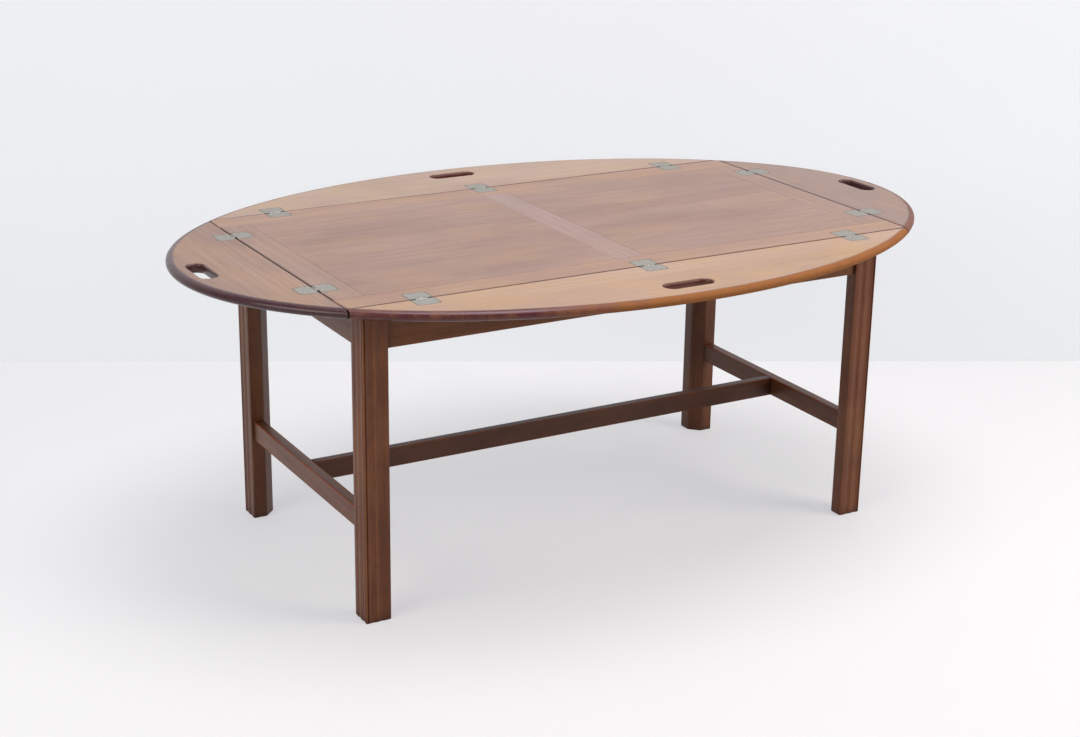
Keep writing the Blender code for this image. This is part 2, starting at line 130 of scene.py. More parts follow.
def node(tree, kind, inputs=(), **settings):
    """Adds one node: inputs are fixed values or the sockets that feed them, settings its own options."""
    made = tree.nodes.new(kind)
    for option, value in settings.items():
        setattr(made, option, value)
    for socket, value in dict(inputs).items():
        if isinstance(value, bpy.types.NodeSocket):
            tree.links.new(value, made.inputs[socket])
        else:
            made.inputs[socket].default_value = value
    return made


def blank_material(name):
    """An empty node tree, to be filled and ended in a surface."""
    made = bpy.data.materials.new(name)
    made.use_nodes = True
    made.node_tree.nodes.clear()
    return made, made.node_tree


def grain_patterns(tree, along):
    """Noise for each of the wood's patterns, as long and as wide as the pattern's marks."""
    noise = {}
    for pattern, (length, width, detail) in WOOD_PATTERNS.items():
        size = (1 / length, 1 / width, 1 / width)
        stretched = node(tree, "ShaderNodeMapping", {"Vector": along, "Scale": size}).outputs[0]
        texture = {"Vector": stretched, "Scale": 1.0, "Detail": detail}
        noise[pattern] = node(tree, "ShaderNodeTexNoise", texture).outputs["Fac"]
    return noise


def grain_tone(tree, noise, streaks):
    """From 0 for dark to 1 for light wood: clouds, with shares of the ribbons and the fine streaks added."""
    tone = noise["cloud"]
    for pattern, share in (("ribbon", RIBBON_SHARE), ("streak", streaks)):
        more = {0: noise[pattern], 1: share, 2: tone}
        tone = node(tree, "ShaderNodeMath", more, operation="MULTIPLY_ADD").outputs[0]
    middle = (1 + RIBBON_SHARE + streaks) / 2
    evened = {"Value": tone, "From Min": middle - TONE_SPAN, "From Max": middle + TONE_SPAN}
    return node(tree, "ShaderNodeMapRange", evened).outputs[0]


def growth_lines(tree, along, noise, spacing, wander, strength):
    """Saw teeth across the grain at the spacing, moved about by noise, sharpened by a power, and multiplied
    by a strength that comes and goes with the clouds."""
    across = node(tree, "ShaderNodeSeparateXYZ", {0: along}).outputs["Y"]
    bands = node(tree, "ShaderNodeMath", {0: across, 1: 1 / spacing}, operation="MULTIPLY").outputs[0]
    moved = {0: noise["figure"], 1: wander, 2: bands}
    bands = node(tree, "ShaderNodeMath", moved, operation="MULTIPLY_ADD").outputs[0]
    bands = node(tree, "ShaderNodeMath", {0: bands}, operation="FRACT").outputs[0]
    bands = node(tree, "ShaderNodeMath", {0: bands, 1: LINE_SHARPNESS}, operation="POWER").outputs[0]
    coming = {"Value": noise["cloud"], "To Max": strength} | LINES_COME
    shown = node(tree, "ShaderNodeMapRange", coming).outputs[0]
    return node(tree, "ShaderNodeMath", {0: bands, 1: shown}, operation="MULTIPLY").outputs[0]


def edge_wear(tree, patch, edge, stain):
    """Shares of worn wood, which grow from spots to a whole edge, and of stain, thinner here and there."""
    spots = {"Value": patch, "To Min": -WEAR_SPOTS, "To Max": 0.0} | PATCH_SPAN
    kept = node(tree, "ShaderNodeMapRange", spots).outputs[0]
    wear = {0: edge, 1: 1 + WEAR_SPOTS, 2: kept}
    rubbed = node(tree, "ShaderNodeMath", wear, operation="MULTIPLY_ADD", use_clamp=True).outputs[0]
    thin = {"Value": patch, "To Min": 1.0, "To Max": THINNEST_STAIN} | PATCH_SPAN
    thinned = node(tree, "ShaderNodeMapRange", thin).outputs[0]
    stained = node(tree, "ShaderNodeMath", {0: thinned, 1: stain}, operation="MULTIPLY").outputs[0]
    return rubbed, stained


def mahogany(name, grain, colours, finish, figuring):
    """Lacquered mahogany with its grain along one axis: light and dark tones, warmer drifts, growth lines,
    dark flecks, short open pores, glossy stain on edges, and wear. The colours are the dark and the light
    tone, the drifts, the growth lines, the stain and the worn places. The finish is the roughness and how
    much the lacquer mirrors. The figuring is the growth lines' spacing, how many spacings they wander, their
    strength and the strength of the streaks."""
    dark, light, warm, line, stain, worn = colours
    roughness, mirror = finish
    spacing, wander, lines, streaks = figuring
    made, tree = blank_material(name)
    place = node(tree, "ShaderNodeTexCoord").outputs["Object"]
    along = node(tree, "ShaderNodeMapping", {"Vector": place, "Rotation": GRAIN_TURN[grain]}).outputs[0]
    noise = grain_patterns(tree, along)
    tone = grain_tone(tree, noise, streaks)
    bands = growth_lines(tree, along, noise, spacing, wander, lines)
    shares = {}
    for pattern, (start, full, most) in WOOD_SHARES.items():
        ramp = {"Value": noise[pattern], "From Min": start, "From Max": full, "To Max": most}
        shares[pattern] = node(tree, "ShaderNodeMapRange", ramp).outputs[0]
    patches = {"Vector": place, "Scale": 1 / PATCH_SIZE, "Detail": 5.0}
    patch = node(tree, "ShaderNodeTexNoise", patches).outputs["Fac"]
    masks = {}
    for mask in ("edge", "stain", "recess"):
        masks[mask] = node(tree, "ShaderNodeAttribute", attribute_name=mask).outputs["Fac"]
    rubbed, stained = edge_wear(tree, patch, masks["edge"], masks["stain"])

    # The worn colour also stands as painted highlight on the legs' beads and reeds. The recess attribute
    # mixes in painted shade, and the darkening at the legs' feet.
    colour = linear(dark)
    layers = [(tone, light), (shares["drift"], warm), (bands, line), (shares["fleck"], line)]
    layers += [(shares["pore"], line), (stained, stain), (rubbed, worn), (masks["recess"], WOOD_DARKENING)]
    for share, over in layers:
        sockets = {0: share, 6: colour, 7: linear(over)}
        colour = node(tree, "ShaderNodeMix", sockets, data_type="RGBA").outputs[2]

    rough = {"Value": noise["streak"], "From Min": 0.3, "From Max": 0.7}
    rough |= {"To Min": roughness + STREAK_GLOSS, "To Max": roughness - STREAK_GLOSS}
    gloss = node(tree, "ShaderNodeMapRange", rough).outputs[0]
    dulling = ((masks["stain"], STAIN_DULLS), (rubbed, WEAR_DULLS), (masks["recess"], DARKENING_DULLS))
    for mask, more in dulling:
        change = {0: mask, 1: more, 2: gloss}
        gloss = node(tree, "ShaderNodeMath", change, operation="MULTIPLY_ADD").outputs[0]
    dents = {"Height": shares["pore"], "Strength": 0.3, "Distance": PORE_DEPTH}
    relief = node(tree, "ShaderNodeBump", dents, invert=True)
    surface = {"Base Color": colour, "Roughness": gloss, "Specular IOR Level": mirror}
    shader = node(tree, "ShaderNodeBsdfPrincipled", surface | {"Normal": relief.outputs[0]})
    node(tree, "ShaderNodeOutputMaterial", {"Surface": shader.outputs[0]})
    return made


def linked(name, data):
    """An object at the origin that holds a mesh, a lamp or a camera."""
    made = bpy.data.objects.new(name, data)
    bpy.context.scene.collection.objects.link(made)
    return made


def skin(name, grid, masks, ring_rows=False):
    """A mesh over a grid of points: quads between neighbours, columns closed into rings, rows closed as
    well or else capped at both ends. masks are values for each point, kept as attributes."""
    rows, columns = grid.shape[:2]
    index = np.arange(rows * columns).reshape(rows, columns)
    following = np.roll(index, -1, axis=0)
    if not ring_rows:
        index, following = index[:-1], following[:-1]
    quads = np.stack([index, np.roll(index, -1, 1), np.roll(following, -1, 1), following], axis=-1)
    faces = quads.reshape(-1, 4).tolist()
    if not ring_rows:
        faces += [list(range(columns))[::-1], list(range((rows - 1) * columns, rows * columns))]
    mesh = bpy.data.meshes.new(name)
    mesh.from_pydata(grid.reshape(-1, 3).tolist(), [], faces)
    for mask, values in masks.items():
        layer = mesh.attributes.new(mask, "FLOAT", "POINT")
        full = np.broadcast_to(values, (rows, columns))
        layer.data.foreach_set("value", np.ascontiguousarray(full, dtype=np.float32).ravel())
    shape = bmesh.new()
    shape.from_mesh(mesh)
    bmesh.ops.remove_doubles(shape, verts=shape.verts, dist=WELD)
    bmesh.ops.dissolve_degenerate(shape, edges=shape.edges, dist=WELD / 10)
    bmesh.ops.recalc_face_normals(shape, faces=shape.faces)
    shape.to_mesh(mesh)
    shape.free()
    return linked(name, mesh)


def turned_about(outline, quarter_turns):
    """Points in plan, turned by quarter turns about the origin, as complex numbers."""
    return (outline[..., 0] + 1j * outline[..., 1]) * 1j ** quarter_turns


def raised(plan, heights):
    """Points at complex places in plan, with their heights."""
    return np.stack([plan.real, plan.imag, np.broadcast_to(heights, plan.shape)], axis=-1)


def dressed(made, material, body, slot, *nodes):
    """Finishes a piece: smooth but for arrises, with its material, its body and the nodes it stands for."""
    made.data.materials.clear()
    made.data.materials.append(material)
    made.data.shade_smooth()
    made.data.set_sharp_from_angle(angle=SMOOTH_ANGLE)
    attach(made, body)
    if nodes:
        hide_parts(*nodes)


def softened(before, corner, after, radius, steps=5):
    """A corner of a section eased to a parabola that leaves both sides at the radius from the corner."""
    before, corner, after = (np.array(point) for point in (before, corner, after))
    start = corner + radius * (before - corner) / np.linalg.norm(before - corner)
    end = corner + radius * (after - corner) / np.linalg.norm(after - corner)
    t = np.linspace(0, 1, steps)[:, None]
    return (1 - t) ** 2 * start + 2 * t * (1 - t) * corner + t ** 2 * end


def swell(distance, place, width):
    """A bell curve: 1 at the place, dying away over the width."""
    return np.exp(-((distance - place) / width) ** 2)


def leg_moulding():
    """Depth below the outer face at each distance from its corner: a quarter-round bead, a V quirk, half a
    sine wave for each hollow, a parabola over the reed and a straight slope for the margin."""
    hollow = (LEG_SIDE - MARGIN - BEAD - QUIRK - REED) / 2
    bead_middle = BEAD * (1 - math.sqrt(0.5))
    stops = np.cumsum([bead_middle, BEAD - bead_middle, QUIRK, hollow, REED, hollow])
    counts = (6, 7, 13, 7, 13)
    spans = [np.linspace(a, b, n)[:-1] for a, b, n in zip(stops, stops[1:], counts)]
    distance = np.concatenate(spans + [stops[-1:]])
    bead_end, quirk_end, first_end, reed_end = stops[1:5]
    bead = BEAD - np.sqrt(np.maximum(BEAD ** 2 - (BEAD - distance) ** 2, 0))
    quirk = QUIRK_DEPTH * (1 - np.abs(2 * (distance - bead_end) / QUIRK - 1))
    first = HOLLOW_DEPTH * np.sin(np.pi * (distance - quirk_end) / hollow)
    reed = REED_CROWN * (2 * (distance - first_end) / REED - 1) ** 2
    second = HOLLOW_DEPTH * np.sin(np.pi * (distance - reed_end) / hollow)
    conditions = [distance < bead_end, distance < quirk_end, distance < first_end, distance < reed_end]
    depth = np.select(conditions, [bead, quirk, first, reed], second)
    # Lighter along the bead's and the reed's crowns, partly wear and partly painted highlight, and painted
    # shade in the quirk.
    edge = BEAD_WEAR_AND_HIGHLIGHT * swell(distance, bead_middle, BEAD_WEAR_AND_HIGHLIGHT_WIDTH)
    edge += REED_WEAR_AND_HIGHLIGHT * swell(distance, (first_end + reed_end) / 2, REED_WEAR_AND_HIGHLIGHT_WIDTH)
    recess = QUIRK_PAINTED_SHADE * swell(distance, (bead_end + quirk_end) / 2, QUIRK_PAINTED_SHADE_WIDTH)
    return distance, depth, edge, recess


def leg(node_name, quarter_turns, material):
    """The section, turned by quarter turns onto its corner, carried up from an eased foot."""
    distance, depth, edge, recess = leg_moulding()
    face = np.stack([distance, depth], axis=1)
    flat = LEG_SIDE - LEG_CHAMFER
    shoulder = (LEG_SIDE, MARGIN_DROP)
    bevel_start, bevel_end = (LEG_SIDE, flat), (flat, LEG_SIDE)
    arrises = [
        softened(face[-1], shoulder, bevel_start, LEG_ARRIS),
        softened(shoulder, bevel_start, bevel_end, LEG_ARRIS),
        softened(bevel_start, bevel_end, shoulder[::-1], LEG_ARRIS),
        softened(bevel_end, shoulder[::-1], face[-1][::-1], LEG_ARRIS),
    ]
    section = np.concatenate([face] + arrises + [face[:0:-1, ::-1]])
    inner = np.tile(INNER_WEAR, len(arrises))
    section_edge = np.concatenate([edge, inner, edge[:0:-1]])
    section_recess = np.concatenate([recess, 0 * inner, recess[:0:-1]])
    low, high = (np.array(corner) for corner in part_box(node_name))
    heights = np.array([0.0, 0.2, 0.5, 1.0, 6.0, 16.0]) * FOOT_EASE
    heights = np.concatenate([heights, np.linspace(EVEN_RINGS_FROM, high[2], 24)])
    below = np.clip(1 - heights / FOOT_EASE, 0, 1)
    inset = FOOT_EASE * (1 - np.sqrt(1 - below ** 2))
    middle = section.mean(axis=0)
    shrink = 1 - inset / (LEG_SIDE / 2)
    rings = middle + (section - middle) * shrink[:, None, None]
    corner = [low, [high[0], low[1]], high, [low[0], high[1]]][quarter_turns]
    plan = complex(corner[0], corner[1]) + turned_about(rings, quarter_turns)
    # Darker towards the bottom of the leg.
    foot_darkening = FOOT_DARKENING * np.exp(-heights / FOOT_DARKENING_HEIGHT)[:, None]
    masks = {
        "edge": section_edge[None, :] + FOOT_WEAR * (inset > 0)[:, None],
        "recess": np.clip(section_recess[None, :] + foot_darkening, 0, 1),
    }
    made = skin(node_name + "_post", raised(plan, heights[:, None]), masks)
    dressed(made, material, "base", "dark_mahogany", node_name)


# Dark spirit stain under satin lacquer: near-black brown where it soaked in, redder where it is thin.
# The two leg woods differ by painted light: the front legs are lighter for the light that falls on them, the
# back legs darker for the shade under the table.
front_leg_lit_colours = ("#592D18", "#894F30", "#905D36", "#34180C", "#3A1C12", "#9E6C50")
back_leg_shaded_colours = ("#4C2512", "#764428", "#82522E", "#2E140A", "#3A1C12", "#966448")
base_finish = (0.38, 0.31)
base_figure = (0.011, 1.5, 0.35, 0.45)
front_leg_lit_wood = mahogany("mahogany_front_legs_painted_lit", "Z", front_leg_lit_colours, base_finish, base_figure)
back_leg_shaded_wood = mahogany("mahogany_back_legs_painted_shade", "Z", back_leg_shaded_colours, base_finish, base_figure)
leg("leg_front_left", 0, front_leg_lit_wood)
leg("leg_front_right", 1, front_leg_lit_wood)
leg("leg_back_right", 2, back_leg_shaded_wood)
leg("leg_back_left", 3, back_leg_shaded_wood)

# Aprons and stretchers: planed rails of the same stained mahogany, tenoned into the legs and, for the
# centre stretcher, into the side stretchers. Their long arrises are rubbed back to a paler orange red.
RAIL_ARRIS = 0.0012
SHOULDER_GAP = 0.0003
ARRIS_WEAR = (0.0, 0.35, 0.85, 1.0, 0.85, 0.35, 0.0)
APRON_WEAR = 0.4
SIDE_WEAR = 0.75
CENTRE_WEAR = 0.5
# Share of painted shade at a shoulder, where a rail meets a leg, and how far it reaches along the rail.
SHOULDER_PAINTED_SHADE = (0.5, 0.005)
END_STEPS = np.array([0.0, 0.004, 0.012])
EVEN_STEPS_FROM = 0.03


def softened_bar(name, axis, low, high, radii, corner_masks, end_masks):
    """A rectangle with softened corners carried along a straight axis. Corners run from low bottom to high
    bottom, high top and low top; masks are given for the seven points of each corner and near the ends."""
    across = 1 - axis
    left, right = low[across], high[across]
    loop = np.array([[left, low[2]], [right, low[2]], [right, high[2]], [left, high[2]]])
    parts = []
    for i, radius in enumerate(radii):
        corner, before, after = loop[i], loop[i - 1], loop[(i + 1) % 4]
        entering = corner + 3 * radius * (before - corner) / np.linalg.norm(before - corner)
        leaving = corner + 3 * radius * (after - corner) / np.linalg.norm(after - corner)
        parts += [entering[None], softened(before, corner, after, radius), leaving[None]]
    section = np.concatenate(parts)
    length = high[axis] - low[axis]
    even = np.linspace(EVEN_STEPS_FROM, length - EVEN_STEPS_FROM, 16)
    stations = np.concatenate([END_STEPS, even, length - END_STEPS[::-1]])
    grid = np.empty((len(stations), len(section), 3))
    grid[..., axis] = low[axis] + stations[:, None]
    grid[..., across] = section[:, 0]
    grid[..., 2] = section[:, 1]
    from_end = np.minimum(stations, length - stations)[:, None]
    masks = {mask: np.array(values, dtype=float).reshape(1, -1) for mask, values in corner_masks.items()}
    for mask, (share, reach) in end_masks.items():
        masks[mask] = np.clip(masks.get(mask, 0) + share * np.exp(-from_end / reach), 0, 1)
    return skin(name, grid, masks)


def base_rail(node_name, axis, end, wear, material):
    """A rail between two shoulders, rubbed along its arrises, and darker and duller with painted shade close
    to the shoulders.
    """
    low, high = (np.array(corner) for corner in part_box(node_name))
    low[axis], high[axis] = -end, end
    rubbed = {"edge": wear * np.tile(ARRIS_WEAR, 4)}
    shoulder_shade = {"recess": SHOULDER_PAINTED_SHADE}
    made = softened_bar(node_name + "_bar", axis, low, high, [RAIL_ARRIS] * 4, rubbed, shoulder_shade)
    dressed(made, material, "base", "dark_mahogany", node_name)


inner_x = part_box("leg_front_right")[0][0] - SHOULDER_GAP
inner_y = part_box("leg_back_left")[0][1] - SHOULDER_GAP
centre_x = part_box("side_stretcher_right")[0][0] - SHOULDER_GAP
# The same stain, with painted light and shade: the aprons are painted lighter to make up for the shade under
# the top, and the centre stretcher nearly black for the shade under the table.
apron_lightened_colours = ("#633518", "#8E552E", "#8A5C34", "#3A1B0D", "#3A1C12", "#A8603C")
side_colours = ("#512814", "#7C4A2E", "#86583A", "#30150A", "#3A1C12", "#B05C3C")
centre_shaded_colours = ("#3C1D10", "#5A331F", "#60391F", "#28110A", "#3A1C12", "#A05434")
apron_lightened_wood = mahogany("mahogany_lengthwise_painted_lighter", "X", apron_lightened_colours, base_finish, base_figure)
side_wood = mahogany("stained_mahogany_crosswise", "Y", side_colours, base_finish, base_figure)
centre_shaded_wood = mahogany("mahogany_lengthwise_painted_shade", "X", centre_shaded_colours, base_finish, base_figure)
for side in ("front", "back"):
    base_rail("apron_" + side, 0, inner_x, APRON_WEAR, apron_lightened_wood)
for side in ("left", "right"):
    base_rail("apron_" + side, 1, inner_y, APRON_WEAR, side_wood)
    base_rail("side_stretcher_" + side, 1, inner_y, SIDE_WEAR, side_wood)
base_rail("centre_stretcher", 0, centre_x, CENTRE_WEAR, centre_shaded_wood)

# Corner blocks: rough offcuts of bare pine, sawn with the grain upright, glued behind the legs where the
# aprons meet.
PINE_LINES = 0.004
PINE_LENGTH = 0.060
PINE_RELIEF = 0.0003


def pine(name):
    """Bare pine: noise stretched upright, from winter lines to summer growth, and a dull saw-cut surface."""
    made, tree = blank_material(name)
    place = node(tree, "ShaderNodeTexCoord").outputs["Object"]
    size = (1 / PINE_LINES, 1 / PINE_LINES, 1 / PINE_LENGTH)
    stretched = node(tree, "ShaderNodeMapping", {"Vector": place, "Scale": size}).outputs[0]
    texture = {"Vector": stretched, "Scale": 1.0, "Detail": 3.0, "Distortion": 0.4}
    growth = node(tree, "ShaderNodeTexNoise", texture).outputs["Fac"]
    colours = {0: growth, 6: linear("#8A6238"), 7: linear("#D2AE78")}
    colour = node(tree, "ShaderNodeMix", colours, data_type="RGBA").outputs[2]
    relief = node(tree, "ShaderNodeBump", {"Height": growth, "Strength": 0.4, "Distance": PINE_RELIEF})
    surface = {"Base Color": colour, "Roughness": 0.75, "Normal": relief.outputs[0]}
    shader = node(tree, "ShaderNodeBsdfPrincipled", surface)
    node(tree, "ShaderNodeOutputMaterial", {"Surface": shader.outputs[0]})
    return made


def finished(node_name, material):
    """Gives a solid that is kept as it is a better material."""
    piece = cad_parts[node_name]
    piece.data.materials.clear()
    piece.data.materials.append(material)


# Pine off the saw, with no lacquer on it: dull, straw yellow, with browner lines.
block_wood = pine("bare_pine")
for corner in ("front_left", "front_right", "back_right", "back_left"):
    finished("corner_block_" + corner, block_wood)

# Tray frame: flush rails and a muntin of lacquered mahogany, tongued and grooved. The long rails run
# through, grained lengthwise, and follow the oval at the four corners. Edges on the seams are eased and
# stained dark.
BOARD = 0.014
NOSE = 0.0095
HAIRLINE = 0.00025
SEAM_EDGE = 0.0006
SEAM_CHAMFER = 0.0012
SEAM_STAIN = 0.75
# Share of painted shade on the faces down in the seam gaps, and the depth below the top where it begins.
SEAM_PAINTED_SHADE = 0.8
SEAM_PAINTED_SHADE_FROM = 1.5 * SEAM_CHAMFER
HALF_SEAM_POINTS = 80
CORNER_POINTS = 9
OVAL_SAMPLES = 4000
# First points of a long rail's outline below its corner, along the seam from it, and beside the middle.
END_LEAD = 0.004
SEAM_LEAD = 0.003
SEAM_MIDDLE = 0.002
# Along the inner edge, a strip as wide as this has no stain.
INNER_BAND = 0.01
PIN_DEPTH = 0.0014
HINGE_INSET_LONG = 0.107
HINGE_INSET_END = 0.102
HINGE_REACH = 0.0275
HINGE_WIDTH = 0.0345
HINGE_WAIST = 0.017
PLATE_ROUND = 0.0050
RECESS_FIT = 0.0003
BED_DEPTH = 0.0007
TROUGH_DEPTH = 0.0023
TROUGH_REACH = 0.0023
# A recess is cut from this far beyond the seam and above the top.
CUT_PAST = 0.0020
oval_x = cad_box[1][0]
oval_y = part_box("leaf_back")[1][1]
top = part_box("tray_panel_left")[1][2]
seam_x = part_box("leaf_right")[0][0] - SEAM_EDGE
seam_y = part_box("leaf_back")[0][1] - SEAM_EDGE
long_hinges = [HINGE_INSET_LONG - seam_x, 0.0, seam_x - HINGE_INSET_LONG]
end_hinges = [HINGE_INSET_END - seam_y, seam_y - HINGE_INSET_END]


def moved_oval(semi_x, semi_y, inset, angle):
    """Points of an ellipse moved in along its normals by the inset."""
    normal = np.stack([semi_y * np.cos(angle), semi_x * np.sin(angle)], axis=-1)
    normal /= np.linalg.norm(normal, axis=-1, keepdims=True)
    return np.stack([semi_x * np.cos(angle), semi_y * np.sin(angle)], axis=-1) - inset * normal


def recess_outline(half, reach, rounding):
    """A rectangle open to the seam and round at its two far corners, larger all round by the fit."""
    half, reach, rounding = half + RECESS_FIT, reach + RECESS_FIT, rounding + RECESS_FIT
    near_left, near_right = (-half, -CUT_PAST), (half, -CUT_PAST)
    far_right, far_left = (half, reach), (-half, reach)
    right = softened(near_right, far_right, far_left, rounding)
    left = softened(far_right, far_left, near_left, rounding)
    return np.concatenate([[near_left, near_right], right, left])


def let_in(board, spot, quarter_turns):
    """Cuts one hinge's recess: a plate's bed, stepped down to a trough for the barrel along the axis."""
    bed = recess_outline(HINGE_WIDTH / 2, HINGE_REACH, PLATE_ROUND)
    trough = recess_outline(HINGE_WAIST / 2, TROUGH_REACH, 0.0)
    axis_z = top - PIN_DEPTH
    heights = [axis_z - TROUGH_DEPTH, axis_z - BED_DEPTH, axis_z - BED_DEPTH, top + CUT_PAST]
    plan = spot + turned_about(np.stack([trough, trough, bed, bed]), quarter_turns)
    cutter = skin("recess", raised(plan, np.array(heights)[:, None]), {})
    change = board.modifiers.new("recess", "BOOLEAN")
    change.object = cutter
    graph = bpy.context.evaluated_depsgraph_get()
    board.data = bpy.data.meshes.new_from_object(board.evaluated_get(graph))
    board.modifiers.clear()
    bpy.data.objects.remove(cutter)


def tray_long_rail(node_name, quarter_turns, material):
    """Levels of an outline: along the seam edge to the moved oval, round the corner on it, down the end and
    back along the inner edge. Levels go from the flat top over the eased edge to the underside."""
    low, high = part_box(node_name)
    inner = seam_y - SEAM_EDGE - (high[1] - low[1])
    drop = np.append(np.array([0, 0, 0.3, 0.6, 1.0, 1.6, 3.0, 5.5, 11.0]) * SEAM_CHAMFER, BOARD)
    seam_inset = np.clip(SEAM_CHAMFER - drop, 0, None)
    seam_inset[0] = 2 * SEAM_CHAMFER
    height = np.abs(BOARD / 2 - drop) / (BOARD / 2)
    nose_inset = NOSE * (1 - np.sqrt(1 - height ** 2))
    nose_inset[0] += SEAM_CHAMFER
    inner_inset = np.clip(HAIRLINE - drop, 0, None)
    inner_inset[0] = 2 * HAIRLINE
    t = np.linspace(0, math.pi / 2, OVAL_SAMPLES)
    levels = []
    for seam, nose, hairline in zip(seam_inset, nose_inset, inner_inset):
        end, edge = seam_x - SEAM_EDGE - seam, seam_y - SEAM_EDGE - seam
        quarter = moved_oval(oval_x, oval_y, nose, t)
        first, last = np.interp(-end, -quarter[:, 0], t), np.interp(edge, quarter[:, 1], t)
        round_corner = moved_oval(oval_x, oval_y, nose, np.linspace(first, last, CORNER_POINTS))
        corner = np.minimum(round_corner, (end, edge))
        before = [(end, inner + hairline), corner[0] - (0, END_LEAD)]
        along = np.linspace(corner[-1] - (SEAM_LEAD, 0), (SEAM_MIDDLE, corner[-1][1]), HALF_SEAM_POINTS)
        right = np.concatenate([before, corner, along])
        levels.append(np.concatenate([right, right[::-1] * [-1, 1]]))
    outline = np.stack(levels)
    half_columns = np.arange(outline.shape[1] // 2)
    columns = np.concatenate([half_columns, half_columns[::-1]])
    in_seam = (columns < 2) | (columns >= len(half_columns) - HALF_SEAM_POINTS)
    outer = outline[..., 1] > inner + INNER_BAND
    # The recess mask paints shade on the faces down in the seam gap.
    masks = {
        "stain": outer * (np.arange(len(drop)) > 0)[:, None] * np.where(in_seam, SEAM_STAIN, 1.0),
        "recess": in_seam * np.where(drop > SEAM_PAINTED_SHADE_FROM, SEAM_PAINTED_SHADE, 0)[:, None],
    }
    grid = raised(turned_about(outline, quarter_turns), top - drop[:, None])
    made = skin(node_name + "_board", grid, masks)
    for position in long_hinges:
        let_in(made, (position + 1j * seam_y) * 1j ** quarter_turns, quarter_turns + 2)
    dressed(made, material, "tray", "tray_mahogany", node_name)


def tray_cross_bar(node_name, seam_side, material):
    """A softened bar between the long rails, eased and stained along the top of its seam side, if any."""
    low, high = (np.array(corner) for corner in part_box(node_name))
    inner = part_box("tray_rail_back")[0][1] - RECESS_FIT
    low[1], high[1] = -inner, inner
    radii = [HAIRLINE] * 4
    stain = np.zeros((4, 7))
    recess = np.zeros((4, 7))
    if seam_side:
        top_corner, bottom_corner = (2, 1) if seam_side > 0 else (3, 0)
        radii[top_corner] = SEAM_CHAMFER
        stain[top_corner] = SEAM_STAIN * np.array([1, 1, 1, 1, 1, 0.8, 0])[::seam_side]
        # Painted shade down in the seam gap.
        recess[top_corner] = SEAM_PAINTED_SHADE * np.array([1, 0, 0, 0, 0, 0, 0])[::seam_side]
        stain[bottom_corner] = SEAM_STAIN
        recess[bottom_corner] = SEAM_PAINTED_SHADE
    made = softened_bar(node_name + "_board", 1, low, high, radii, {"stain": stain, "recess": recess}, {})
    if seam_side:
        turns = 3 if seam_side > 0 else 1
        for position in end_hinges:
            let_in(made, (position + 1j * seam_x) * 1j ** turns, turns + 2)
    dressed(made, material, "tray", "tray_mahogany", node_name)


# Satin-lacquered mahogany faded by daylight: pinkish brown, with dark, glossy stain left on the edges.
edge_stain = ("#3E1A16", "#A86A44")
tray_finish = (0.34, 0.50)
frame_figure = (0.013, 1.5, 0.20, 0.15)
long_colours = ("#946B52", "#B0896F", "#B2885F", "#754E39", *edge_stain)
end_colours = ("#8A6654", "#A6826E", "#A68064", "#704C3C", *edge_stain)
muntin_colours = ("#917165", "#AC8C7E", "#A8846E", "#785648", *edge_stain)
long_frame = mahogany("tray_mahogany_long_rails", "X", long_colours, tray_finish, frame_figure)
end_frame = mahogany("tray_mahogany_end_rails", "Y", end_colours, tray_finish, frame_figure)
middle_frame = mahogany("tray_mahogany_muntin", "Y", muntin_colours, tray_finish, frame_figure)
tray_long_rail("tray_rail_back", 0, long_frame)
tray_long_rail("tray_rail_front", 2, long_frame)
tray_cross_bar("tray_rail_left", -1, end_frame)
tray_cross_bar("tray_rail_right", 1, end_frame)
tray_cross_bar("tray_muntin", 0, middle_frame)

# Panels and battens: two flat-sawn mahogany panels let flush into the frame, whose growth lines wander in
# long arches, and two plain battens fixed underneath.
panel_colours = ("#85604B", "#AA8574", "#A87F5E", "#664434", *edge_stain)
panel_figure = (0.030, 6.0, 0.25, 0.06)
panel_wood = mahogany("tray_mahogany_panels", "X", panel_colours, tray_finish, panel_figure)
for side in ("left", "right"):
    finished("tray_panel_" + side, panel_wood)
    finished("tray_batten_" + side, end_frame)

# Leaves: four boards cut to the oval, each with a full round nose on its curved edge, an eased edge along
# the seam, a rounded handhold and recesses for its hinge plates. Nose and handhold keep their stain, which
# ends on the top a little inside the nose and is rubbed away to orange brown where hands take hold.
TIP_CUT = 0.0018
STAIN_BLEED = 0.0020
STAIN_ON_TOP = 0.8
NOSE_STAINED_BY = math.radians(30)
UNDERSIDE_STAIN = 0.5
WEAR_CHANGE = 0.18
HANDHOLD_STRAIGHT = 0.026
HANDHOLD_RADIUS = 0.012
HANDHOLD_ROUNDING = 0.0035
HANDHOLD_STAIN = 0.93
RIM_STAINED_BY = math.radians(40)
HANDHOLD_INSET_LONG = 0.048
HANDHOLD_INSET_END = 0.036
ARC_POINTS = 280
SEAM_POINTS = 150
NOSE_POINTS = 29
RIM_POINTS = 9
# Places of the points between handhold and nose, closer together near both.
FACE_SHARES = np.array([0.01, 0.03, 0.1, 0.25, 0.5, 0.75, 0.9, 0.97, 0.99])


